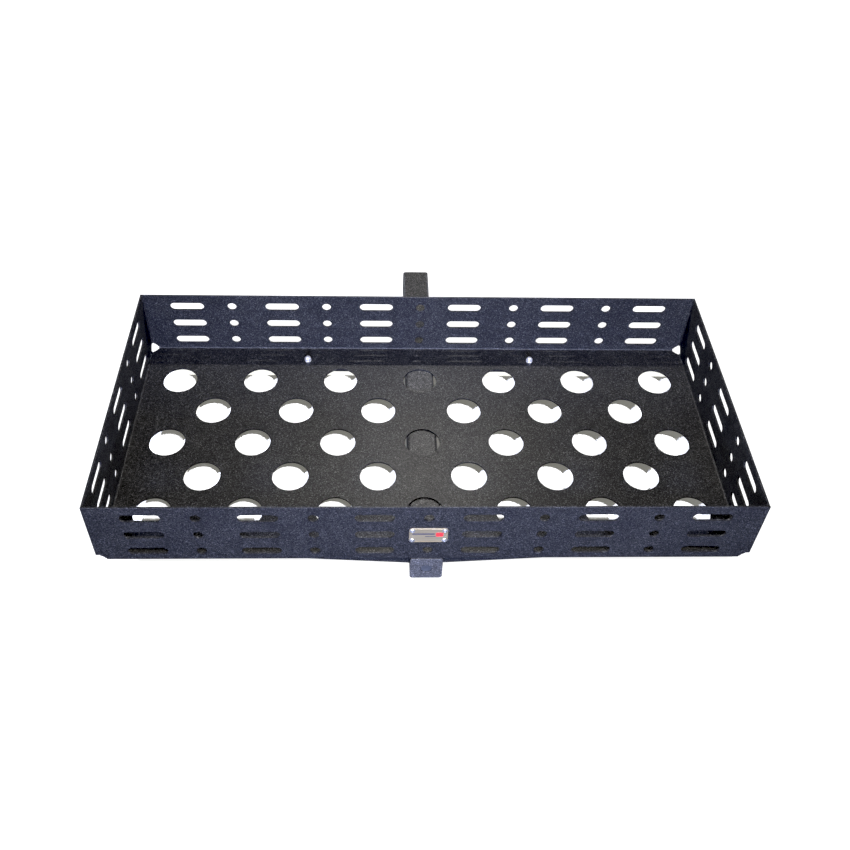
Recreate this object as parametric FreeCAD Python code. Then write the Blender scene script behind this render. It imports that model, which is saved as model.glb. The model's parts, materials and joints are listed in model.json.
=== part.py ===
import FreeCAD, Part
import math
import os

from FreeCAD import Vector

# Hitch cargo carrier: a perforated sheet-steel tray bolted to four brace arms that are welded
# to the sides of one square hitch tube.
#
# Row frame, in millimetres: the origin is the centre of the hitch pin hole, +Z is up, +Y points
# along the tube to the vehicle, and X runs across the tray. "Front" is the side of the tray that
# carries the badge, away from the vehicle, and "rear" is the side next to it.

# ---- Hitch tube -------------------------------------------------------------------------------
TUBE_SIDE = 50.8
TUBE_WALL = 5.0
TUBE_CORNER = 5.0
TUBE_BORE_CORNER = 2.0
PIN_HOLE_R = 8.15
PIN_TO_TUBE_END = 63.5
SHANK_BEYOND_TRAY = 232.0

# ---- Tray -------------------------------------------------------------------------------------
TRAY_WIDTH = 1000.0
TRAY_DEPTH = 472.0
TRAY_HEIGHT = 130.0
SHEET = 3.0
BEND_INSIDE = 3.0
RELIEF_R = 15.0
RIM_ROUND = 0.6
CORNER_GAP = 1.0
CORNER_WELD_LEG = 3.5
CORNER_WELD_BOW = 1.5

# ---- Perforation ------------------------------------------------------------------------------
WALL_ROWS = (25.0, 65.0, 105.0)
SLOT_LENGTH = 60.0
SLOT_WIDTH = 16.0
WALL_HOLE_R = 8.0
LONG_WALL_PITCH = 170.0
LONG_WALL_FIRST_SLOT = 80.0
SHORT_WALL_PITCH = 159.0
SHORT_WALL_HOLE = 86.0
FLOOR_HOLE_R = 30.0
FLOOR_PITCH_X = 144.5
FLOOR_STAGGERED_FIRST = 75.75
FLOOR_PITCH_Y = 74.0

# ---- Brace arms -------------------------------------------------------------------------------
BRACE_SHEET = 4.0
BRACE_REACH = 235.0
BRACE_WEB_FROM_CENTRE = 214.0
BRACE_FLANGE = 35.0
BRACE_DEPTH_AT_TUBE = 41.0
BRACE_TAPER = 0.08
BRACE_TOE = 12.0
BRACE_TIP_ROUND = 8.0
BRACE_WELD_LEG = 4.5
WELD_FACE_BULGE = 0.6

# ---- Tray bolts (M6), their washers and lock nuts ---------------------------------------------
BOLT_X = 206.5
BOLT_FROM_CENTRE = 201.0
BOLT_R = 3.0
BOLT_HOLE_R = 3.3
BOLT_TIP_ABOVE_NUT = 1.8
BOLT_TIP_BEVEL = 0.8
BOLT_HEAD_HEIGHT = 4.0
HEX_ACROSS_FLATS = 10.0
WASHER_R = 6.0
WASHER_HOLE_R = 3.2
WASHER_THICKNESS = 1.6
WASHER_ROUND = 0.3
NUT_BODY_HEIGHT = 4.5
NUT_HEIGHT = 6.2
NUT_COLLAR_R = 4.4
NUT_COLLAR_ROUND = 0.7
NUT_LIP = 0.3
NYLON_HEIGHT = 1.3
NYLON_OUTER_R = 3.9
HEX_CORNER_BEVEL_DEG = 30.0

# ---- End cap of the tube ----------------------------------------------------------------------
CAP_THICKNESS = 5.0
CAP_HOLE_R = 9.4
CAP_STEP = 2.0
CAP_EDGE_ROUND = 1.0
PLUG_RECESS = 1.2
PLUG_CLEARANCE = 0.05
PLUG_RIM = 0.6
PLUG_DISH = 0.8
PLUG_FLANGE_R = 13.0
PLUG_FLANGE_THICKNESS = 1.5

# ---- Badge and its rivets ---------------------------------------------------------------------
BADGE_WIDTH = 58.0
BADGE_HEIGHT = 33.5
BADGE_THICKNESS = 1.5
BADGE_CORNER = 5.0
BADGE_CHAMFER = 0.35
BADGE_HEIGHT_ABOVE_FLOOR = 64.0
RIVET_SPACING_X = 48.4
RIVET_SPACING_Z = 23.4
RIVET_HEAD_R = 4.4
RIVET_HEAD_HEIGHT = 1.9
RIVET_BODY_R = 2.0
RIVET_TAIL_R = 3.0
RIVET_TAIL_LENGTH = 4.0
RIVET_MOUTH_R = 1.1
RIVET_RIM = 0.35

# ---- Places worked out from the dimensions above ----------------------------------------------
FLOOR_UNDERSIDE = TUBE_SIDE / 2
TUBE_END_Y = PIN_TO_TUBE_END
TRAY_CENTRE_Y = TUBE_END_Y - SHANK_BEYOND_TRAY - TRAY_DEPTH / 2
TRAY_FRONT_Y = TRAY_CENTRE_Y - TRAY_DEPTH / 2
BEND_OUTSIDE = BEND_INSIDE + SHEET
HALF_WIDTH = TRAY_WIDTH / 2
HALF_DEPTH = TRAY_DEPTH / 2

# ---- Modelling tolerances ---------------------------------------------------------------------
TOUCH = 0.01
NEARLY_ALONG = 0.9
CUTTER_MARGIN = 0.5

X_AXIS = Vector(1, 0, 0)
Y_AXIS = Vector(0, 1, 0)
Z_AXIS = Vector(0, 0, 1)

SIDES = {"left": -1, "right": 1}
ENDS = {"front": -1, "rear": 1}


# ---- Helpers ----------------------------------------------------------------------------------
def box(low, high):
    size = Vector(*high) - Vector(*low)
    return Part.makeBox(size.x, size.y, size.z, Vector(*low))


def face_of(points):
    """Planar face through the points, closed back to the first one."""
    return Part.Face(Part.makePolygon([Vector(*p) for p in points] + [Vector(*points[0])]))


def arc_edge(start, middle, end):
    return Part.Arc(Vector(*start), Vector(*middle), Vector(*end)).toShape()


def line_edge(start, end):
    return Part.makeLine(Vector(*start), Vector(*end))


def rounded_square(side, corner, y_low, y_high):
    """Square bar along Y, centred on the Y axis, with its four long edges rounded."""
    half = side / 2
    bar = box((-half, y_low, -half), (half, y_high, half))
    long_edges = [e for e in bar.Edges if abs(e.tangentAt(e.FirstParameter).y) > NEARLY_ALONG]
    return bar.makeFillet(corner, long_edges)


def slot_cutter(centre, along, through, length):
    """Solid of a slot's shape: it runs along one axis and is pushed through along the other."""
    radius = SLOT_WIDTH / 2
    half_run = along * (SLOT_LENGTH / 2 - radius)
    start = centre - through * (length / 2)
    ends = [Part.makeCylinder(radius, length, start + s * half_run, through) for s in (-1, 1)]
    across = through.cross(along)
    corners = [
        start - half_run - across * radius,
        start + half_run - across * radius,
        start + half_run + across * radius,
        start - half_run + across * radius,
    ]
    middle = face_of([tuple(c) for c in corners]).extrude(through * length)
    return middle.fuse(ends).removeSplitter()


def hole_cutter(centre, through, length, radius):
    return Part.makeCylinder(radius, length, centre - through * (length / 2), through)


def mirrored(values):
    return [s * v for v in values for s in (-1, 1)]


def at_tray(shape):
    """Move a shape made about the tray's centre, with its floor underside at zero height."""
    return shape.translated(Vector(0, TRAY_CENTRE_Y, FLOOR_UNDERSIDE))


def revolved(points, arcs=()):
    """Solid of revolution about Z from (radius, height) points; arcs maps a start index to a
    point that the edge from there to the next passes through."""
    through = dict(arcs)
    edges = []
    for i, start in enumerate(points):
        end = points[(i + 1) % len(points)]
        a = (start[0], 0, start[1])
        b = (end[0], 0, end[1])
        if i in through:
            edges.append(arc_edge(a, (through[i][0], 0, through[i][1]), b))
        else:
            edges.append(line_edge(a, b))
    return Part.Face(Part.Wire(edges)).revolve(Vector(0, 0, 0), Z_AXIS, 360)


def hexagon(across_flats, height):
    radius = across_flats / math.sqrt(3)
    corners = [
        (radius * math.cos(math.radians(60 * k)), radius * math.sin(math.radians(60 * k)), 0)
        for k in range(6)
    ]
    return face_of(corners).extrude(Vector(0, 0, height))


def chamfered_hexagon(height, bevel_top, bevel_bottom):
    """Hexagonal prism whose corners are turned off at the top, the bottom, or both."""
    flat_r = HEX_ACROSS_FLATS / 2
    corner_r = HEX_ACROSS_FLATS / math.sqrt(3)
    drop = (corner_r - flat_r) * math.tan(math.radians(HEX_CORNER_BEVEL_DEG))
    low = [(0, 0), (flat_r, 0), (corner_r, drop)] if bevel_bottom else [(0, 0), (corner_r, 0)]
    high = [(corner_r, height - drop), (flat_r, height), (0, height)]
    if not bevel_top:
        high = [(corner_r, height), (0, height)]
    return hexagon(HEX_ACROSS_FLATS, height).common(revolved(low + high))


# ---- Tray: floor and four walls folded from one sheet -----------------------------------------
def wall_profile():
    """Section of a wall and its bend, as (distance in from the outer face, height) edges."""
    centre = BEND_OUTSIDE
    turn = math.sqrt(0.5)
    outer_mid = centre - BEND_OUTSIDE * turn
    inner_mid = centre - BEND_INSIDE * turn
    top = TRAY_HEIGHT
    r = RIM_ROUND
    corner = r * (1 - turn)
    return [
        ("line", (centre, 0), (centre, SHEET)),
        ("arc", (centre, SHEET), (inner_mid, inner_mid), (SHEET, centre)),
        ("line", (SHEET, centre), (SHEET, top - r)),
        ("arc", (SHEET, top - r), (SHEET - corner, top - corner), (SHEET - r, top)),
        ("line", (SHEET - r, top), (r, top)),
        ("arc", (r, top), (corner, top - corner), (0, top - r)),
        ("line", (0, top - r), (0, centre)),
        ("arc", (0, centre), (outer_mid, outer_mid), (centre, 0)),
    ]


def wall(outer, inward, along, length):
    """Wall with its bend, extruded along the fold from one end to the other."""
    edges = []
    for kind, *points in wall_profile():
        placed = [outer + inward * p[0] + Z_AXIS * p[1] for p in points]
        if kind == "arc":
            edges.append(Part.Arc(*placed).toShape())
        else:
            edges.append(Part.makeLine(*placed))
    return Part.Face(Part.Wire(edges)).extrude(along * length)


def folded_blank():
    floor = box(
        (-HALF_WIDTH + BEND_OUTSIDE, -HALF_DEPTH + BEND_OUTSIDE, 0),
        (HALF_WIDTH - BEND_OUTSIDE, HALF_DEPTH - BEND_OUTSIDE, SHEET),
    )
    short_length = TRAY_DEPTH - 2 * (SHEET + CORNER_GAP)
    walls = []
    for side in (-1, 1):
        long_outer = Vector(-HALF_WIDTH, side * HALF_DEPTH, 0)
        walls.append(wall(long_outer, Y_AXIS * -side, X_AXIS, TRAY_WIDTH))
        short_outer = Vector(side * HALF_WIDTH, -short_length / 2, 0)
        walls.append(wall(short_outer, X_AXIS * -side, Y_AXIS, short_length))
    return floor.fuse(walls).removeSplitter()


def corner_reliefs():
    """Quarter-round openings where the fold lines of two walls meet."""
    reach = BEND_OUTSIDE + CUTTER_MARGIN
    cutters = []
    for sx in (-1, 1):
        for sy in (-1, 1):
            corner = Vector(sx * HALF_WIDTH, sy * HALF_DEPTH, 0)
            for axis in (X_AXIS * sx, Y_AXIS * sy, Z_AXIS * -1):
                cutters.append(Part.makeCylinder(RELIEF_R, 2 * reach, corner - axis * reach, axis))
    return cutters


def long_wall_cutters():
    through = 2 * TRAY_DEPTH
    slots = mirrored([LONG_WALL_FIRST_SLOT + k * LONG_WALL_PITCH for k in range(3)])
    holes = [k * LONG_WALL_PITCH for k in range(-2, 3)]
    cutters = []
    for z in WALL_ROWS:
        cutters += [slot_cutter(Vector(x, 0, z), X_AXIS, Y_AXIS, through) for x in slots]
        cutters += [hole_cutter(Vector(x, 0, z), Y_AXIS, through, WALL_HOLE_R) for x in holes]
    return cutters


def short_wall_cutters():
    through = 2 * TRAY_WIDTH
    cutters = []
    for z in WALL_ROWS:
        for y in (-SHORT_WALL_PITCH, 0, SHORT_WALL_PITCH):
            cutters.append(slot_cutter(Vector(0, y, z), Y_AXIS, X_AXIS, through))
        for y in mirrored([SHORT_WALL_HOLE]):
            cutters.append(hole_cutter(Vector(0, y, z), X_AXIS, through, WALL_HOLE_R))
    return cutters


def floor_hole_places():
    """Seven holes in the straight rows, one of them in the middle, and six in the staggered rows."""
    places = []
    for row in range(-2, 3):
        staggered = row % 2
        first = FLOOR_STAGGERED_FIRST if staggered else FLOOR_PITCH_X
        columns = mirrored([first + k * FLOOR_PITCH_X for k in range(3)])
        if not staggered:
            columns.append(0)
        places += [(x, row * FLOOR_PITCH_Y) for x in columns]
    return places


def bolt_places():
    return {
        (end, side): (SIDES[side] * BOLT_X, ENDS[end] * BOLT_FROM_CENTRE)
        for end in ENDS
        for side in SIDES
    }


def rivet_places():
    return [
        (sx * RIVET_SPACING_X / 2, BADGE_HEIGHT_ABOVE_FLOOR + sz * RIVET_SPACING_Z / 2)
        for sx in (-1, 1)
        for sz in (-1, 1)
    ]


def tray_sheet():
    floor_cut = 4 * SHEET
    cutters = corner_reliefs() + long_wall_cutters() + short_wall_cutters()
    for x, y in floor_hole_places():
        cutters.append(hole_cutter(Vector(x, y, SHEET / 2), Z_AXIS, floor_cut, FLOOR_HOLE_R))
    for x, y in bolt_places().values():
        cutters.append(hole_cutter(Vector(x, y, SHEET / 2), Z_AXIS, floor_cut, BOLT_HOLE_R))
    for x, z in rivet_places():
        middle = Vector(x, -HALF_DEPTH + SHEET / 2, z)
        cutters.append(hole_cutter(middle, Y_AXIS, floor_cut, RIVET_BODY_R))
    return folded_blank().cut(cutters)


def corner_weld(sx, sy):
    """Bead down one corner seam: it fills the gap and leaves a small fillet inside."""
    outer_x = HALF_WIDTH
    inner_x = HALF_WIDTH - SHEET
    inner_y = HALF_DEPTH - SHEET
    leg = CORNER_WELD_LEG
    bow = CORNER_WELD_BOW
    base = RELIEF_R
    start = (inner_x - leg, inner_y)
    middle = (inner_x - bow, inner_y - bow)
    end = (inner_x, inner_y - leg)

    def place(p):
        return (sx * p[0], sy * p[1], base)

    outline = [end, (inner_x, inner_y - CORNER_GAP), (outer_x, inner_y - CORNER_GAP)]
    outline += [(outer_x, inner_y), start]
    edges = [line_edge(place(a), place(b)) for a, b in zip(outline, outline[1:])]
    edges.append(arc_edge(place(start), place(middle), place(end)))
    height = TRAY_HEIGHT - RIM_ROUND - base
    return Part.Face(Part.Wire(edges)).extrude(Vector(0, 0, height))


# ---- Hitch tube and its end cap ---------------------------------------------------------------
def hitch_tube():
    start = TRAY_FRONT_Y + CAP_THICKNESS
    outer = rounded_square(TUBE_SIDE, TUBE_CORNER, start, TUBE_END_Y)
    bore_side = TUBE_SIDE - 2 * TUBE_WALL
    bore_end = TUBE_END_Y + CUTTER_MARGIN
    bore = rounded_square(bore_side, TUBE_BORE_CORNER, start - CUTTER_MARGIN, bore_end)
    pin = hole_cutter(Vector(0, 0, 0), X_AXIS, 2 * TUBE_SIDE, PIN_HOLE_R)
    return outer.cut([bore, pin])


def cap_step(y_low, y_high):
    return rounded_square(TUBE_SIDE - 2 * CAP_STEP, TUBE_CORNER - CAP_STEP, y_low, y_high)


def tube_end_cap():
    """Plate across the end of the tube, stepped at the back for the weld, with a round hole."""
    face_y = TRAY_FRONT_Y
    step_y = face_y + CAP_THICKNESS - CAP_STEP
    plate = rounded_square(TUBE_SIDE, TUBE_CORNER, face_y, step_y)
    front_edges = [e for e in plate.Edges if e.BoundBox.YMax < face_y + TOUCH]
    plate = plate.makeFillet(CAP_EDGE_ROUND, front_edges)
    spigot = cap_step(step_y, face_y + CAP_THICKNESS)
    hole = hole_cutter(Vector(0, face_y, 0), Y_AXIS, 4 * CAP_THICKNESS, CAP_HOLE_R)
    return plate.fuse(spigot).removeSplitter().cut(hole)


def end_cap_weld():
    """Bead in the step between the cap and the tube, dressed flush with the tube."""
    high = TRAY_FRONT_Y + CAP_THICKNESS
    low = high - CAP_STEP
    inside = cap_step(low - CUTTER_MARGIN, high + CUTTER_MARGIN)
    return rounded_square(TUBE_SIDE, TUBE_CORNER, low, high).cut(inside)


def cap_hole_plug():
    """Plastic plug pushed in from inside the tube; its shallow dished face is below the cap."""
    neck_r = CAP_HOLE_R - PLUG_CLEARANCE
    top = CAP_THICKNESS - PLUG_RECESS
    dish_r = neck_r - PLUG_RIM
    points = [(0, top - PLUG_DISH), (dish_r, top), (neck_r, top - PLUG_RIM), (neck_r, 0)]
    points += [(PLUG_FLANGE_R, 0), (PLUG_FLANGE_R, -PLUG_FLANGE_THICKNESS)]
    points += [(0, -PLUG_FLANGE_THICKNESS)]
    dish_mid = (dish_r * math.sqrt(0.5), top - PLUG_DISH / 2)
    plug = revolved(points, {0: dish_mid})
    plug.rotate(Vector(0, 0, 0), X_AXIS, 90)
    return plug.translated(Vector(0, TRAY_FRONT_Y + CAP_THICKNESS, 0))


# ---- Brace arms -------------------------------------------------------------------------------
def brace_depth(x):
    return BRACE_DEPTH_AT_TUBE - BRACE_TAPER * (x - TUBE_SIDE / 2)


def brace_arm(end, side):
    """Folded angle: a tapered web across the tube and a flange under the tray's floor."""
    near = TUBE_SIDE / 2
    far = BRACE_REACH
    t = BRACE_SHEET
    toe = BRACE_TOE
    web_points = [(near, 0, 0), (far, 0, 0), (far, 0, -brace_depth(far) + toe)]
    web_points += [(far - toe, 0, -brace_depth(far - toe)), (near, 0, -brace_depth(near))]
    web = face_of(web_points).extrude(Vector(0, t, 0))
    flange = box((near, 0, -t), (far, BRACE_FLANGE, 0))
    arm = web.fuse(flange).removeSplitter()
    outer_bend = [
        e for e in arm.Edges
        if e.BoundBox.ZLength < TOUCH and e.BoundBox.YMax < TOUCH
        and e.BoundBox.ZMin > -TOUCH
    ]
    arm = arm.makeFillet(t, outer_bend)
    tip_edges = [
        e for e in arm.Edges
        if e.BoundBox.ZLength > t / 2 and e.BoundBox.YMin > BRACE_FLANGE - TOUCH
        and e.BoundBox.XMin > far - TOUCH
    ]
    arm = arm.makeFillet(BRACE_TIP_ROUND, tip_edges)
    bolt_from_web = BRACE_WEB_FROM_CENTRE - BOLT_FROM_CENTRE
    hole = hole_cutter(Vector(BOLT_X, bolt_from_web, 0), Z_AXIS, 6 * t, BOLT_HOLE_R)
    arm = arm.cut(hole)
    if end == "rear":
        arm = arm.mirror(Vector(0, 0, 0), Y_AXIS)
    if side == "left":
        arm = arm.mirror(Vector(0, 0, 0), X_AXIS)
    return at_tray(arm.translated(Vector(0, ENDS[end] * BRACE_WEB_FROM_CENTRE, 0)))


def brace_weld(end, side):
    """Fillet beads up both faces of a web where it meets the side of the tube."""
    near = TUBE_SIDE / 2
    top = TUBE_CORNER + BRACE_WELD_LEG / 4
    bottom = BRACE_DEPTH_AT_TUBE - BRACE_WELD_LEG
    leg = BRACE_WELD_LEG
    beads = []
    for face_y, away in ((0, -1), (BRACE_SHEET, 1)):
        a = (near, face_y, -bottom)
        b = (near + leg, face_y, -bottom)
        c = (near, face_y + away * leg, -bottom)
        bulge = (near + WELD_FACE_BULGE * leg, face_y + WELD_FACE_BULGE * away * leg, -bottom)
        wire = Part.Wire([line_edge(a, b), arc_edge(b, bulge, c), line_edge(c, a)])
        beads.append(Part.Face(wire).extrude(Vector(0, 0, bottom - top)))
    weld = Part.Compound(beads)
    if end == "rear":
        weld = weld.mirror(Vector(0, 0, 0), Y_AXIS)
    if side == "left":
        weld = weld.mirror(Vector(0, 0, 0), X_AXIS)
    return at_tray(weld.translated(Vector(0, ENDS[end] * BRACE_WEB_FROM_CENTRE, 0)))


# ---- Tray bolts -------------------------------------------------------------------------------
def tray_bolt():
    """Hex bolt from below: head under the brace flange, tip above the lock nut."""
    head_top = -BRACE_SHEET - WASHER_THICKNESS
    tip = SHEET + WASHER_THICKNESS + NUT_HEIGHT + BOLT_TIP_ABOVE_NUT
    bevel = BOLT_TIP_BEVEL
    shank_points = [(0, head_top), (BOLT_R, head_top), (BOLT_R, tip - bevel)]
    shank_points += [(BOLT_R - bevel, tip), (0, tip)]
    head = chamfered_hexagon(BOLT_HEAD_HEIGHT, False, True)
    head = head.translated(Vector(0, 0, head_top - BOLT_HEAD_HEIGHT))
    return head.fuse(revolved(shank_points)).removeSplitter()


def washer():
    ring = Part.makeCylinder(WASHER_R, WASHER_THICKNESS)
    rims = [e for e in ring.Edges if isinstance(e.Curve, Part.Circle)]
    ring = ring.makeFillet(WASHER_ROUND, rims)
    return ring.cut(hole_cutter(Vector(0, 0, 0), Z_AXIS, 4 * WASHER_THICKNESS, WASHER_HOLE_R))


def lower_washer():
    return washer().translated(Vector(0, 0, -BRACE_SHEET - WASHER_THICKNESS))


def upper_washer():
    return washer().translated(Vector(0, 0, SHEET))


def nylon_seat_height():
    """Height of the nylon ring's underside above the nut's own underside."""
    return NUT_HEIGHT - NUT_LIP - NYLON_HEIGHT


def lock_nut():
    """Hex body with a round collar crimped over the nylon ring."""
    rounding = NUT_COLLAR_ROUND
    root = NUT_BODY_HEIGHT - WASHER_THICKNESS / 2
    inset = rounding * (1 - math.sqrt(0.5))
    collar = [(0, root), (NUT_COLLAR_R, root), (NUT_COLLAR_R, NUT_HEIGHT - rounding)]
    collar += [(NUT_COLLAR_R - rounding, NUT_HEIGHT), (0, NUT_HEIGHT)]
    collar_mid = (NUT_COLLAR_R - inset, NUT_HEIGHT - inset)
    body = chamfered_hexagon(NUT_BODY_HEIGHT, True, True).fuse(revolved(collar, {2: collar_mid}))
    seat_low = nylon_seat_height()
    bore = Part.makeCylinder(BOLT_R, NUT_HEIGHT)
    seat = Part.makeCylinder(NYLON_OUTER_R, NYLON_HEIGHT, Vector(0, 0, seat_low))
    mouth = Part.makeCylinder(BOLT_R + NUT_LIP, NUT_HEIGHT, Vector(0, 0, seat_low))
    nut = body.removeSplitter().cut([bore, seat, mouth])
    return nut.translated(Vector(0, 0, SHEET + WASHER_THICKNESS))


def nylon_ring():
    low = SHEET + WASHER_THICKNESS + nylon_seat_height()
    ring = Part.makeCylinder(NYLON_OUTER_R, NYLON_HEIGHT, Vector(0, 0, low))
    return ring.cut(Part.makeCylinder(BOLT_R, 2 * NYLON_HEIGHT, Vector(0, 0, low - CUTTER_MARGIN)))


# ---- Badge ------------------------------------------------------------------------------------
def badge_plate():
    """Blank name plate with a bevelled rim and four rivet holes."""
    half_w = BADGE_WIDTH / 2
    half_h = BADGE_HEIGHT / 2
    plate = box((-half_w, -BADGE_THICKNESS, -half_h), (half_w, 0, half_h))
    upright = [e for e in plate.Edges if abs(e.tangentAt(e.FirstParameter).y) > NEARLY_ALONG]
    plate = plate.makeFillet(BADGE_CORNER, upright)
    front = [e for e in plate.Edges if e.BoundBox.YMax < -BADGE_THICKNESS + TOUCH]
    plate = plate.makeChamfer(BADGE_CHAMFER, front)
    plate = plate.translated(Vector(0, -HALF_DEPTH, BADGE_HEIGHT_ABOVE_FLOOR))
    holes = [
        hole_cutter(Vector(x, -HALF_DEPTH, z), Y_AXIS, 4 * BADGE_THICKNESS, RIVET_BODY_R)
        for x, z in rivet_places()
    ]
    return at_tray(plate.cut(holes))


def badge_rivet():
    """Blind rivet along Z: domed head with the mandrel's mouth, body, and folded tail."""
    grip = BADGE_THICKNESS + SHEET
    crown = RIVET_HEAD_HEIGHT
    floor_of_mouth = crown / 2
    points = [(0, floor_of_mouth), (RIVET_MOUTH_R, floor_of_mouth), (RIVET_MOUTH_R, crown)]
    points += [(RIVET_HEAD_R, RIVET_RIM), (RIVET_HEAD_R, 0), (RIVET_BODY_R, 0), (RIVET_BODY_R, -grip)]
    points += [(RIVET_TAIL_R, -grip), (RIVET_TAIL_R, -grip - RIVET_TAIL_LENGTH / 2)]
    points += [(RIVET_BODY_R, -grip - RIVET_TAIL_LENGTH), (0, -grip - RIVET_TAIL_LENGTH)]
    dome_mid = (RIVET_HEAD_R * math.sqrt(0.5), crown * math.sqrt(0.5))
    rivet = revolved(points, {2: dome_mid})
    rivet.rotate(Vector(0, 0, 0), X_AXIS, 90)
    return rivet.translated(Vector(0, -HALF_DEPTH - BADGE_THICKNESS, 0))


# ---- Assembly ---------------------------------------------------------------------------------
def all_nodes():
    nodes = {
        "tray_sheet": at_tray(tray_sheet()),
        "hitch_tube": hitch_tube(),
        "tube_end_cap": tube_end_cap(),
        "end_cap_weld": end_cap_weld(),
        "cap_hole_plug": cap_hole_plug(),
        "badge_plate": badge_plate(),
    }
    fasteners = {
        "tray_bolt": tray_bolt(),
        "lower_washer": lower_washer(),
        "upper_washer": upper_washer(),
        "lock_nut": lock_nut(),
        "nylon_ring": nylon_ring(),
    }
    for (end, side), (x, y) in bolt_places().items():
        place = end + "_" + side
        nodes["corner_weld_" + place] = at_tray(corner_weld(SIDES[side], ENDS[end]))
        nodes["brace_" + place] = brace_arm(end, side)
        nodes["brace_weld_" + place] = brace_weld(end, side)
        for name, shape in fasteners.items():
            nodes[name + "_" + place] = at_tray(shape.translated(Vector(x, y, 0)))
    rivet = badge_rivet()
    for number, (x, z) in enumerate(rivet_places(), start=1):
        nodes["badge_rivet_" + str(number)] = at_tray(rivet.translated(Vector(x, 0, z)))
    return nodes


def main():
    os.makedirs("parts", exist_ok=True)
    for name, shape in all_nodes().items():
        if not shape.isValid():
            raise ValueError(name + " is not a valid shape")
        shape.exportStep("parts/" + name + ".step")
        print(name, len(shape.Solids), "solid(s),", round(shape.Volume / 1000, 2), "cm3")


main()
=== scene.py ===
import json
import math

import bmesh
import bpy
from mathutils import Euler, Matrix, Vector, noise


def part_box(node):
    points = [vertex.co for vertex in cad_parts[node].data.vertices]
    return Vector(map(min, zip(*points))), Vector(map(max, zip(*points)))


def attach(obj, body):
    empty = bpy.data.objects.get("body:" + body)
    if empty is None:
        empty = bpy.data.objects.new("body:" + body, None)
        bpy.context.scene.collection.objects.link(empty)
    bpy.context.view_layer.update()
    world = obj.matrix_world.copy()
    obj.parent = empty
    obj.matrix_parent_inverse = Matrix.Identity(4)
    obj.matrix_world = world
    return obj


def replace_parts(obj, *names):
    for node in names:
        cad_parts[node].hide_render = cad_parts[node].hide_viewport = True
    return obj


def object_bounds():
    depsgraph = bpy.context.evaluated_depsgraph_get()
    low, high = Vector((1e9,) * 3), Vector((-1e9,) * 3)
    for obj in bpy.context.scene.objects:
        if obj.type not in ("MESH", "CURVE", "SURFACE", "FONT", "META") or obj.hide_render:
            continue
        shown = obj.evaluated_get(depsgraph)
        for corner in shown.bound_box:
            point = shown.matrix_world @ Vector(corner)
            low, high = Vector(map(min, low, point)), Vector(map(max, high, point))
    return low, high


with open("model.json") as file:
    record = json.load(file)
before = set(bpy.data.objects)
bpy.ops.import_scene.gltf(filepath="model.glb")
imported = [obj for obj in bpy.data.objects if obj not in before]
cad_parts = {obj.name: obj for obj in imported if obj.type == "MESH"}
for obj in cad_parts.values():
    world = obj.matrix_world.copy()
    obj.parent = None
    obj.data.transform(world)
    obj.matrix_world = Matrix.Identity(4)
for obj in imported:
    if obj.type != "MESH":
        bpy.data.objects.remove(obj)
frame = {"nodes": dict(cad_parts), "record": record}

cad_low, cad_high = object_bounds()

# ---- Places worked out from the frame -----------------------------------------------------------
tray_low, tray_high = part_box("tray_sheet")
RIM_CENTRE = Vector(((tray_low.x + tray_high.x) / 2, (tray_low.y + tray_high.y) / 2, tray_high.z))
GROUND_Z = cad_low.z

# ---- Camera -------------------------------------------------------------------------------------
CAMERA_FROM_RIM = Vector((-0.0755, -1.0740, 1.1051))
CAMERA_TURN_DEG = (46.0235, -1.8134, -1.5088)
CAMERA_LENS_MM = 40.2533
CAMERA_SENSOR_MM = 36.0
CAMERA_SHIFT = (0.0088, -0.0762)


def make_camera():
    data = bpy.data.cameras.new("camera")
    data.sensor_width = CAMERA_SENSOR_MM
    data.lens = CAMERA_LENS_MM
    data.shift_x, data.shift_y = CAMERA_SHIFT
    data.clip_start = 0.05
    data.clip_end = 60
    camera = bpy.data.objects.new("camera", data)
    camera.location = RIM_CENTRE + CAMERA_FROM_RIM
    camera.rotation_euler = Euler([math.radians(d) for d in CAMERA_TURN_DEG])
    bpy.context.scene.collection.objects.link(camera)
    bpy.context.scene.camera = camera


make_camera()


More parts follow.
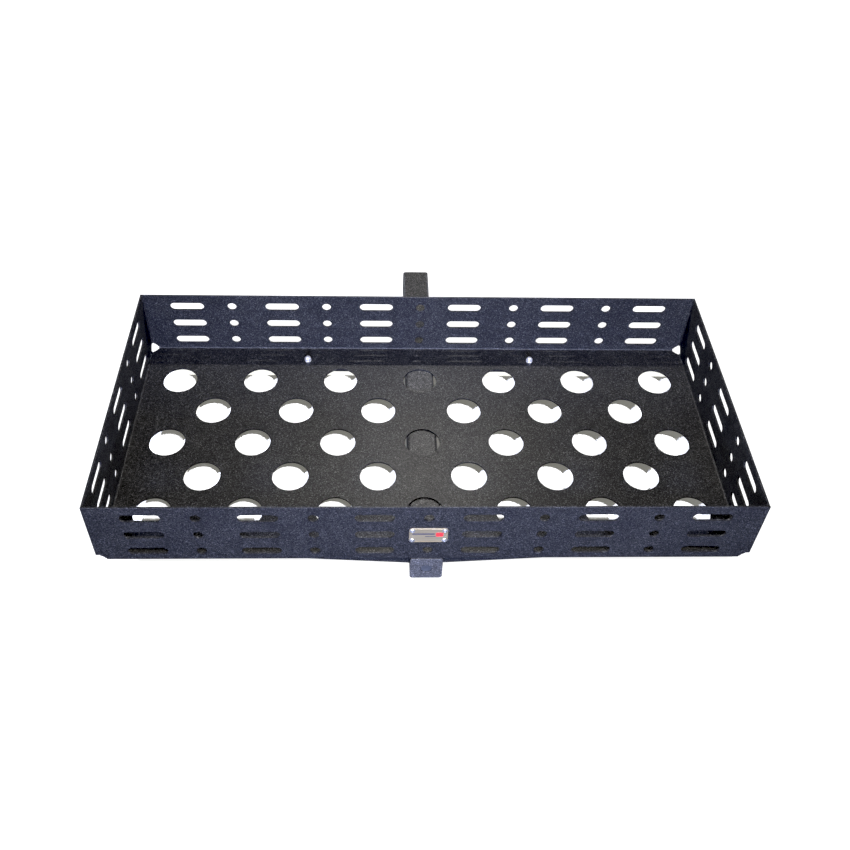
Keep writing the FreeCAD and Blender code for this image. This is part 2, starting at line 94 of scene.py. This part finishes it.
# ---- Shader helper -------------------------------------------------------------------------------
class Shader:
    """Short names for building one node material."""

    def __init__(self, name):
        self.material = bpy.data.materials.new(name)
        self.material.use_nodes = True
        self.tree = self.material.node_tree
        self.surface = self.tree.nodes["Principled BSDF"]
        self.place = self.tree.nodes.new("ShaderNodeTexCoord").outputs["Object"]

    def node(self, kind, **values):
        """Adds a node; each value goes to the input socket of that name, or else to the property."""
        made = self.tree.nodes.new(kind)
        for key, value in values.items():
            if key in made.inputs:
                self.put(value, made.inputs[key])
            else:
                setattr(made, key, value)
        return made

    def put(self, value, socket):
        """Links an output socket to an input, or sets the input to a plain value."""
        if hasattr(value, "links"):
            self.tree.links.new(value, socket)
        else:
            socket.default_value = value

    def set(self, **values):
        """Fills the surface's own sockets; an underscore in a name stands for a space."""
        for key, value in values.items():
            self.put(value, self.surface.inputs[key.replace("_", " ")])

    def noise(self, scale, detail=2.0, roughness=0.5, place=None):
        made = self.node("ShaderNodeTexNoise", Scale=scale, Detail=detail, Roughness=roughness)
        self.put(place or self.place, made.inputs["Vector"])
        return made.outputs["Fac"]

    def cells(self, scale):
        """Rounded grains: their height, and two random values for each grain."""
        made = self.node("ShaderNodeTexVoronoi", Scale=scale)
        self.put(self.place, made.inputs["Vector"])
        split = self.node("ShaderNodeSeparateColor")
        self.put(made.outputs["Color"], split.inputs["Color"])
        height = self.math("SUBTRACT", 1.0, made.outputs["Distance"])
        return {"height": height, "red": split.outputs["Red"], "green": split.outputs["Green"]}

    def ramp(self, factor, stops):
        """Colour ramp from (position, colour) stops."""
        made = self.node("ShaderNodeValToRGB")
        elements = made.color_ramp.elements
        while len(elements) < len(stops):
            elements.new(0.5)
        for element, (position, colour) in zip(elements, stops):
            element.position = position
            element.color = colour if len(colour) == 4 else (*colour, 1)
        self.put(factor, made.inputs["Fac"])
        return made.outputs["Color"]

    def math(self, operation, a, b=0.0):
        made = self.node("ShaderNodeMath", operation=operation)
        self.put(a, made.inputs[0])
        self.put(b, made.inputs[1])
        return made.outputs[0]

    def mix(self, factor, a, b, mode="MIX"):
        made = self.node("ShaderNodeMix", data_type="RGBA", blend_type=mode)
        self.put(factor, made.inputs[0])
        self.put(a, made.inputs[6])
        self.put(b, made.inputs[7])
        return made.outputs[2]

    def bump(self, height, strength, distance, normal=None):
        made = self.node("ShaderNodeBump", Strength=strength, Distance=distance)
        self.put(height, made.inputs["Height"])
        if normal:
            self.put(normal, made.inputs["Normal"])
        return made.outputs["Normal"]


# ---- Room, ground and lights ---------------------------------------------------------------------
ROOM_LIGHT = 0.155
BACKDROP = 0.95
GROUND_HALF = 9.0
# The ground glows outside the tray's outline; under it the glow is turned down to a painted shade.
# The glow fades over GLOW_EDGE, and at the front it reaches in by UNDER_FRONT.
GLOW = 0.95
GLOW_EDGE = 0.02
UNDER_FRONT = 0.056
# Painted shade: the ground's glow colour inside the tray's outline.
PAINTED_SHADE_UNDER_TRAY = (0.20, 0.195, 0.17)
LIT_WHITE = (0.9, 0.9, 0.9)
GLOWING_WHITE = (0.15, 0.15, 0.15)
SUN_DISTANCE = 3


def direction(azimuth, elevation):
    """Unit vector towards a light; azimuth 0 is in front of the tray (-Y), 90 is at its right."""
    a = math.radians(azimuth)
    e = math.radians(elevation)
    return Vector((math.sin(a) * math.cos(e), -math.cos(a) * math.cos(e), math.sin(e)))


def light(name, kind, colour, place):
    """New light of one kind at a place in the room."""
    made = bpy.data.objects.new(name, bpy.data.lights.new(name, kind))
    made.data.color = colour
    made.location = place
    bpy.context.scene.collection.objects.link(made)
    return made


def beside_tray(place):
    """Room coordinates of a place given from the tray's centre, at the height of the tube's axis."""
    return Vector((RIM_CENTRE.x, RIM_CENTRE.y, 0)) + Vector(place)


def sun(name, azimuth, elevation, strength, colour, spread):
    towards = direction(azimuth, elevation)
    made = light(name, "SUN", colour, RIM_CENTRE + towards * SUN_DISTANCE)
    made.rotation_euler = towards.to_track_quat("Z", "Y").to_euler()
    made.data.energy = strength
    made.data.angle = math.radians(spread)
    return made


def lamp(name, place, strength, colour, radius):
    """Bare lamp; its energy grows with its distance squared, so strength means the same anywhere."""
    made = light(name, "POINT", colour, beside_tray(place))
    made.data.energy = 4 * math.pi * strength * Vector(place).length ** 2
    made.data.shadow_soft_size = radius
    return made


def panel(name, place, size, spread, watts, colour):
    """Wide soft light that faces the middle of the tray's rim, and that no camera sees."""
    made = light(name, "AREA", colour, beside_tray(place))
    made.visible_camera = False
    towards = Vector((place[0], place[1], place[2] - RIM_CENTRE.z))
    made.rotation_euler = towards.to_track_quat("Z", "Y").to_euler()
    made.data.shape = "RECTANGLE"
    made.data.size, made.data.size_y = size
    made.data.spread = math.radians(spread)
    made.data.energy = watts
    return made


def make_world():
    """Faint light from all round; the backdrop itself is pale."""
    world = bpy.data.worlds.new("studio")
    world.use_nodes = True
    tree = world.node_tree
    background = tree.nodes["Background"]
    background.inputs["Color"].default_value = (0.93, 0.96, 1.0, 1)
    path = tree.nodes.new("ShaderNodeLightPath")
    strength = tree.nodes.new("ShaderNodeMapRange")
    strength.inputs["To Min"].default_value = ROOM_LIGHT
    strength.inputs["To Max"].default_value = BACKDROP
    tree.links.new(path.outputs["Is Camera Ray"], strength.inputs["Value"])
    tree.links.new(strength.outputs["Result"], background.inputs["Strength"])
    bpy.context.scene.world = world


def ground_white_with_painted_shade():
    """White that glows outside the tray's outline. Under it the glow is turned down to a painted
    shade, and the lights' spots and shade fall on it.
    """
    s = Shader("ground_white_with_painted_shade")
    split = s.node("ShaderNodeSeparateXYZ")
    s.put(s.place, split.inputs["Vector"])
    across = s.math("ABSOLUTE", s.math("SUBTRACT", split.outputs["X"], RIM_CENTRE.x))
    beside = s.math("SUBTRACT", across, (tray_high.x - tray_low.x) / 2)
    before = s.math("SUBTRACT", tray_low.y + UNDER_FRONT, split.outputs["Y"])
    behind = s.math("SUBTRACT", split.outputs["Y"], tray_high.y)
    outside = s.math("MAXIMUM", beside, s.math("MAXIMUM", before, behind))
    edge = s.math("MULTIPLY", outside, 1 / GLOW_EDGE)
    # Painted shade inside the tray's outline, full glow outside it.
    glow_and_painted_shade = s.ramp(edge, [(0.0, PAINTED_SHADE_UNDER_TRAY), (1.0, (1, 1, 1))])
    white = s.ramp(edge, [(0.0, LIT_WHITE), (1.0, GLOWING_WHITE)])
    s.set(Base_Color=white, Roughness=0.9, Specular_IOR_Level=0.1)
    s.set(Emission_Color=glow_and_painted_shade, Emission_Strength=GLOW)
    return s.material


def make_ground():
    """White sheet with a painted shade under the tray's outline. It neither reflects in the tray nor
    bounces light onto it.
    """
    mesh = bpy.data.meshes.new("ground")
    corners = [(-1, -1), (1, -1), (1, 1), (-1, 1)]
    mesh.from_pydata([(x * GROUND_HALF, y * GROUND_HALF, GROUND_Z) for x, y in corners], [],
                     [(0, 1, 2, 3)])
    ground = bpy.data.objects.new("ground", mesh)
    bpy.context.scene.collection.objects.link(ground)
    mesh.materials.append(ground_white_with_painted_shade())
    ground.visible_glossy = False
    ground.visible_diffuse = False
    return ground


def link_light(source, thing, state):
    """State INCLUDE lets the light reach only that thing, and EXCLUDE all but that thing."""
    group = bpy.data.collections.new(source.name + "_reach")
    group.objects.link(thing)
    group.collection_objects[0].light_linking.link_state = state
    source.light_linking.receiver_collection = group


KEY = (0.03, 0.463, 0.8)
FRONT = (0.226, -1.594, 2.31)
FRONT_LEFT = (-2.175, -1.52, 2.52)
WINDOW = (0.0, -2.6, 1.0)
SKY_BLUE = (1.04, 1.18, 1.95)
COOL = (1.0, 1.06, 1.35)
FILL_AWAY = 2.6
FILL_HEIGHT = 0.08
SIDE_FILL = {"size": (0.7, 0.12), "spread": 44, "watts": 5, "colour": COOL}


def light_the_object(ground):
    """Lights that shade the tray and leave the ground alone."""
    lights = [
        lamp("key_from_behind", KEY, 2.25, (1.0, 0.98, 0.96), 0.012),
        lamp("front", FRONT, 2.4, (1.0, 0.96, 0.92), 0.03),
        lamp("front_left", FRONT_LEFT, 0.7, (1.0, 1.0, 1.1), 0.05),
        panel("low_window", WINDOW, (1.1, 0.4), 36, 5.9, SKY_BLUE),
        panel("rear_fill", (0, FILL_AWAY, 0), (1.4, 0.04), 50, 9, COOL),
        panel("left_fill", (-FILL_AWAY, 0, FILL_HEIGHT), **SIDE_FILL),
        panel("right_fill", (FILL_AWAY, 0, FILL_HEIGHT), **SIDE_FILL),
    ]
    for one in lights:
        link_light(one, ground, "EXCLUDE")


def light_the_ground(ground):
    """Lights that make the bright spots under the tray's holes and the shade between them."""
    lights = [
        sun("key_on_ground", 181, 69.7, 3.2, (1.0, 1.0, 0.95), 0.5),
        lamp("front_on_ground", FRONT, 5.2, (0.99, 0.99, 1.02), 0.03),
        lamp("front_left_on_ground", FRONT_LEFT, 5.8, (0.92, 0.96, 1.15), 0.05),
    ]
    for one in lights:
        link_light(one, ground, "INCLUDE")


make_world()
white_ground = make_ground()
light_the_object(white_ground)
light_the_ground(white_ground)

BLACK_LEVEL = 0.02


def deepen_blacks():
    """Plain view transform with a slightly raised black point."""
    view = bpy.context.scene.view_settings
    view.view_transform = "Standard"
    view.use_curve_mapping = True
    view.curve_mapping.black_level = (BLACK_LEVEL, BLACK_LEVEL, BLACK_LEVEL)
    view.curve_mapping.update()


deepen_blacks()


# ---- Materials ----------------------------------------------------------------------------------
GRAINS_PER_METRE = 820
SPECKS_PER_METRE = 1900
# Grain tones at random; the top stop is a painted glint.
GRAIN_TONES_AND_GLINTS = [(0.0, 0.0115), (0.55, 0.024), (0.88, 0.040), (0.97, 0.078)]
MIDDLE_TONE = 0.026


def powder_coat(name, painted_light_gain=1.0, contrast=1.0):
    """Black powder coat: sandy grains about a millimetre across, of random tone; the brightest grains
    and specks are painted glints.
    """
    s = Shader(name)
    large = s.cells(GRAINS_PER_METRE)
    small = s.cells(SPECKS_PER_METRE)
    cloud = s.noise(14, 3.0, 0.6)
    # A gain above one brightens the tones, which paints light on a copy of the coat.
    tones = [(at, painted_light_gain * (MIDDLE_TONE + contrast * (v - MIDDLE_TONE))) for at, v in GRAIN_TONES_AND_GLINTS]
    tone = s.ramp(large["red"], [(at, (v, v, v)) for at, v in tones])
    # Fine specks of random tone; the top stops paint glints.
    specks_and_painted_glints = s.ramp(small["red"], [(0.0, (0.55, 0.55, 0.55)), (0.9, (1.3, 1.3, 1.3)),
                                 (0.99, (2.6, 2.6, 2.6))])
    patch = s.ramp(cloud, [(0.3, (0.86, 0.86, 0.88)), (0.7, (1.12, 1.12, 1.1))])
    colour = s.mix(1.0, s.mix(1.0, tone, specks_and_painted_glints, "MULTIPLY"), patch, "MULTIPLY")
    rough = s.ramp(large["green"], [(0.0, (0.36, 0.36, 0.36)), (0.6, (0.46, 0.46, 0.46)),
                                    (1.0, (0.66, 0.66, 0.66))])
    domes = s.bump(large["height"], 0.32, 0.0005)
    s.set(Base_Color=colour, Roughness=rough, Normal=s.bump(small["height"], 0.25, 0.0002, domes))
    s.set(Specular_IOR_Level=0.25)
    return s.material


def zinc():
    """Bright zinc plating with faint cloudiness."""
    s = Shader("zinc_plating")
    cloud = s.noise(260, 3.0, 0.6)
    colour = s.ramp(cloud, [(0.3, (0.84, 0.85, 0.88)), (0.7, (0.96, 0.96, 0.95))])
    rough = s.ramp(s.noise(900, 2.0), [(0.3, (0.36, 0.36, 0.36)), (0.7, (0.54, 0.54, 0.54))])
    s.set(Base_Color=colour, Metallic=0.85, Roughness=rough)
    s.set(Normal=s.bump(cloud, 0.15, 0.0003))
    return s.material


def nylon():
    """Off-white nylon of the lock rings."""
    s = Shader("nylon_insert")
    colour = s.ramp(s.noise(400, 2.0), [(0.3, (0.62, 0.62, 0.58)), (0.7, (0.74, 0.74, 0.7))])
    s.set(Base_Color=colour, Roughness=0.45, Normal=s.bump(s.noise(1500), 0.2, 0.0002))
    return s.material


def brushed_badge():
    """Warm silver plate, brushed along X."""
    s = Shader("badge_brushed_metal")
    stretch = s.node("ShaderNodeMapping")
    s.put(s.place, stretch.inputs["Vector"])
    stretch.inputs["Scale"].default_value = (18, 1, 900)
    brush = s.noise(2.0, 3.0, 0.6, stretch.outputs["Vector"])
    colour = s.ramp(brush, [(0.3, (0.331, 0.279, 0.179)), (0.7, (0.436, 0.377, 0.25))])
    rough = s.ramp(brush, [(0.3, (0.38, 0.38, 0.38)), (0.7, (0.55, 0.55, 0.55))])
    s.set(Base_Color=colour, Metallic=0.6, Roughness=rough, Normal=s.bump(brush, 0.2, 0.0002))
    return s.material


def rivet_metal():
    """Bright aluminium of the blind rivets."""
    s = Shader("rivet_aluminium")
    cloud = s.noise(500, 2.0)
    colour = s.ramp(cloud, [(0.3, (0.80, 0.81, 0.83)), (0.7, (0.93, 0.93, 0.94))])
    rough = s.ramp(cloud, [(0.3, (0.22, 0.22, 0.22)), (0.7, (0.36, 0.36, 0.36))])
    s.set(Base_Color=colour, Metallic=0.9, Roughness=rough, Normal=s.bump(cloud, 0.1, 0.0002))
    return s.material


def plug_plastic():
    """Smooth dark plastic of the end cap's plug."""
    s = Shader("smooth_plug_plastic")
    cloud = s.noise(140, 2.0)
    colour = s.ramp(cloud, [(0.3, (0.054, 0.059, 0.067)), (0.7, (0.070, 0.075, 0.083))])
    s.set(Base_Color=colour, Roughness=0.3, Normal=s.bump(s.noise(2200), 0.1, 0.0001))
    return s.material


def enamel(name, dark, pale):
    """Slightly orange-peeled gloss enamel."""
    s = Shader(name)
    s.set(Base_Color=s.ramp(s.noise(900, 2.0), [(0.3, dark), (0.7, pale)]), Roughness=0.3)
    s.set(Normal=s.bump(s.noise(1300, 2.0), 0.15, 0.0001))
    return s.material


FINISHES = {
    "dark_enamel": enamel("dark_enamel", (0.05, 0.05, 0.06), (0.09, 0.085, 0.1)),
    "red_enamel": enamel("red_enamel", (0.62, 0.03, 0.035), (0.8, 0.06, 0.06)),
    "powder_coat": powder_coat("black_powder_coat"),
    # Brightened copies of the black coat: painted light on the tube and its end cap.
    "tube_coat_brightened_for_light": powder_coat("black_tube_coat", 1.6),
    "cap_coat_brightened_for_light": powder_coat("black_cap_coat", 2.75, 0.75),
    "zinc_hardware": zinc(),
    "nylon": nylon(),
    "badge_metal": brushed_badge(),
    "rivet_aluminium": rivet_metal(),
    "plug_plastic": plug_plastic(),
}
# The tube and its end cap take the brightened copies, painted light.
PAINTED_LIGHT_FINISH = {"hitch_tube": "tube_coat_brightened_for_light", "tube_end_cap": "cap_coat_brightened_for_light"}


def finish_cad_nodes():
    """Each CAD node takes the finish of its slot, but the tube and its end cap take brightened copies
    of the black coat, which paint light on them.
    """
    slots = {part["node"]: part["material_slot"] for part in frame["record"]["subparts"]}
    for name, piece in frame["nodes"].items():
        piece.data.materials.clear()
        piece.data.materials.append(FINISHES[PAINTED_LIGHT_FINISH.get(name, slots[name])])


finish_cad_nodes()

# ---- Detailed pieces ----------------------------------------------------------------------------
BEAD_VOXEL = 0.00045
BEAD_PITCH = 0.0024
BEAD_GROOVE = 0.0004
BEAD_LUMPS = 0.00025
BEAD_LUMPS_PER_METRE = 260
BEAD_LAG_PER_METRE = 40
RING_FLATNESS = 4


def add_piece(name, mesh, finish):
    """New visible piece of the rigid body, with a finish and the record's slot of that name."""
    piece = bpy.data.objects.new(name, mesh)
    bpy.context.scene.collection.objects.link(piece)
    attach(piece, "root")
    mesh.materials.append(FINISHES[finish])
    return piece


def remeshed(node, voxel):
    """An evenly meshed copy of a CAD node's solids."""
    helper = bpy.data.objects.new(node + "_helper", frame["nodes"][node].data.copy())
    bpy.context.scene.collection.objects.link(helper)
    remesh = helper.modifiers.new("voxels", "REMESH")
    remesh.mode = "VOXEL"
    remesh.voxel_size = voxel
    bpy.context.view_layer.update()
    evaluated = helper.evaluated_get(bpy.context.evaluated_depsgraph_get())
    mesh = bpy.data.meshes.new_from_object(evaluated)
    bpy.data.objects.remove(helper)
    return mesh


def weld_bead(node):
    """Laid ripples along a bead's longest direction, or around the tube for the cap's bead. Each
    ripple lags behind towards the bead's edge, and the metal is a little lumpy."""
    mesh = remeshed(node, BEAD_VOXEL)
    low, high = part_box(node)
    size = high - low
    centre = (low + high) / 2
    along = max(range(3), key=lambda axis: size[axis])
    is_ring = min(size.x, size.z) > RING_FLATNESS * size.y
    moved = []
    for vertex in mesh.vertices:
        place = vertex.co - centre
        if is_ring:
            travel = math.atan2(place.z, place.x) * size.x / 2
            aside = place.y
        else:
            travel = place[along]
            across = Vector(place)
            across[along] = 0
            aside = across.length
        wave = 0.5 - 0.5 * math.cos(math.tau * (travel / BEAD_PITCH + BEAD_LAG_PER_METRE * aside))
        lump = 0.5 + 0.5 * noise.noise(vertex.co * BEAD_LUMPS_PER_METRE)
        moved.append(vertex.co - vertex.normal * (BEAD_GROOVE * wave + BEAD_LUMPS * lump))
    for vertex, place in zip(mesh.vertices, moved):
        vertex.co = place
    mesh.materials.clear()
    mesh.polygons.foreach_set("use_smooth", [True] * len(mesh.polygons))
    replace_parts(add_piece(node + "_bead", mesh, "powder_coat"), node)


THREAD_PITCH = 0.001
THREAD_DEPTH = 0.00045
THREAD_LENGTH = 0.005
BOLT_R = 0.003
HEAD_HEIGHT = 0.004
HEAD_CHAMFER_R = 0.0047
HEAD_CHAMFER_STEP = 0.00022
HEAD_CHAMFER_STEPS = 4
HEAD_FLATS = 0.010
TIP_BEVEL = 0.0008
THREAD_STEPS = 8
TURN_STEPS = 60


def hexagon_radius(angle, first_corner):
    """Distance from the axis to a regular hexagon's side at an angle."""
    turn = (angle - first_corner) % (math.pi / 3) - math.pi / 6
    return HEAD_FLATS / 2 / math.cos(turn)


def threaded_bolt(node):
    """Hex head with a bevelled underside, plain shank and a real thread at the tip."""
    low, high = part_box(node)
    first_corner = 0 if high.x - low.x > high.y - low.y else math.pi / 6
    rows = [(low.z, lambda a: HEAD_CHAMFER_R)]
    for step in range(1, HEAD_CHAMFER_STEPS + 1):
        rise = HEAD_CHAMFER_STEP * step
        rows.append((low.z + rise, lambda a, r=HEAD_CHAMFER_R + rise * math.sqrt(3):
                     min(r, hexagon_radius(a, first_corner))))
    neck = low.z + HEAD_HEIGHT
    rows.append((neck, lambda a: hexagon_radius(a, first_corner)))
    rows.append((neck, lambda a: BOLT_R))
    thread_start = high.z - THREAD_LENGTH
    rows.append((thread_start, lambda a: BOLT_R))
    count = round(THREAD_LENGTH / THREAD_PITCH * THREAD_STEPS)
    for step in range(1, count + 1):
        height = thread_start + THREAD_LENGTH * step / count
        bevel = max(0, height - (high.z - TIP_BEVEL))

        def thread_radius(angle, height=height, bevel=bevel):
            phase = (height / THREAD_PITCH - angle / math.tau) % 1
            groove = THREAD_DEPTH * (1 - abs(2 * phase - 1))
            return min(BOLT_R - groove, BOLT_R - bevel)

        rows.append((height, thread_radius))
    mesh = lathe(node + "_threaded", rows, (low.x + high.x) / 2, (low.y + high.y) / 2)
    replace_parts(add_piece(node + "_threaded", mesh, "zinc_hardware"), node)


def lathe(name, rows, centre_x, centre_y):
    """Closed solid from rows of (height, radius at an angle)."""
    shape = bmesh.new()
    rings = []
    for height, radius in rows:
        ring = []
        for step in range(TURN_STEPS):
            angle = math.tau * step / TURN_STEPS
            r = radius(angle)
            ring.append(shape.verts.new((centre_x + r * math.cos(angle),
                                         centre_y + r * math.sin(angle), height)))
        rings.append(ring)
    for lower, upper in zip(rings, rings[1:]):
        for step in range(TURN_STEPS):
            after = (step + 1) % TURN_STEPS
            shape.faces.new((lower[step], lower[after], upper[after], upper[step]))
    shape.faces.new(list(reversed(rings[0])))
    shape.faces.new(rings[-1])
    mesh = bpy.data.meshes.new(name)
    shape.to_mesh(mesh)
    shape.free()
    return mesh


BADGE_RAISE = 0.0003
SMALLEST_CORNER = 0.0004
CORNER_STEPS = 6
FRAME_OUTSIDE = (0.0555, 0.0312)
FRAME_INSIDE = (0.0535, 0.0292)
FRAME_CORNER = 0.0042
# Name, place (right and up from the plate's middle), size, corner radius and finish.
BADGE_MARKS = [
    ("badge_bar_wide", (-0.0076, 0.0042), (0.0336, 0.0032), 0.0012, "dark_enamel"),
    ("badge_bar_thin", (0.0033, -0.0016), (0.017, 0.0013), 0.0006, "dark_enamel"),
    ("badge_tab", (0.0166, 0.0026), (0.0112, 0.0092), 0.0018, "red_enamel"),
]


def rounded_outline(width, height, corner):
    """Points round a rectangle with rounded corners."""
    points = []
    for quarter, (sx, sz) in enumerate(((1, 1), (-1, 1), (-1, -1), (1, -1))):
        for step in range(CORNER_STEPS + 1):
            angle = math.pi / 2 * (quarter + step / CORNER_STEPS)
            points.append((sx * (width / 2 - corner) + corner * math.cos(angle),
                           sz * (height / 2 - corner) + corner * math.sin(angle)))
    return points


def badge_layer(name, centre, size, corner, finish, hole=None):
    """Thin raised plate, or frame when it has a hole, standing on the badge's face."""
    shape = bmesh.new()

    def ring(outline, y):
        return [shape.verts.new((centre.x + x, y, centre.z + z)) for x, z in outline]

    def wall(front, back):
        total = len(front)
        for i in range(total):
            j = (i + 1) % total
            shape.faces.new((front[i], back[i], back[j], front[j]))

    outer = rounded_outline(*size, corner)
    front, back = ring(outer, centre.y - BADGE_RAISE), ring(outer, centre.y)
    wall(front, back)
    if hole:
        inner = rounded_outline(*hole, max(corner - (size[0] - hole[0]) / 2, SMALLEST_CORNER))
        inner_front, inner_back = ring(inner, centre.y - BADGE_RAISE), ring(inner, centre.y)
        wall(inner_back, inner_front)
        wall(inner_front, front)
        wall(back, inner_back)
    else:
        shape.faces.new(front)
        shape.faces.new(list(reversed(back)))
    bmesh.ops.recalc_face_normals(shape, faces=shape.faces)
    mesh = bpy.data.meshes.new(name)
    shape.to_mesh(mesh)
    shape.free()
    return add_piece(name, mesh, finish)


def badge_face():
    """Generic markings: a raised frame, two dark bars and a plain red tab."""
    low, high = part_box("badge_plate")
    face = Vector(((low.x + high.x) / 2, low.y, (low.z + high.z) / 2))
    badge_layer("badge_frame", face, FRAME_OUTSIDE, FRAME_CORNER, "badge_metal", FRAME_INSIDE)
    for name, (right, up), size, corner, finish in BADGE_MARKS:
        badge_layer(name, face + Vector((right, 0, up)), size, corner, finish)


for node_name in sorted(frame["nodes"]):
    if "weld" in node_name:
        weld_bead(node_name)
    elif node_name.startswith("tray_bolt"):
        threaded_bolt(node_name)
badge_face()
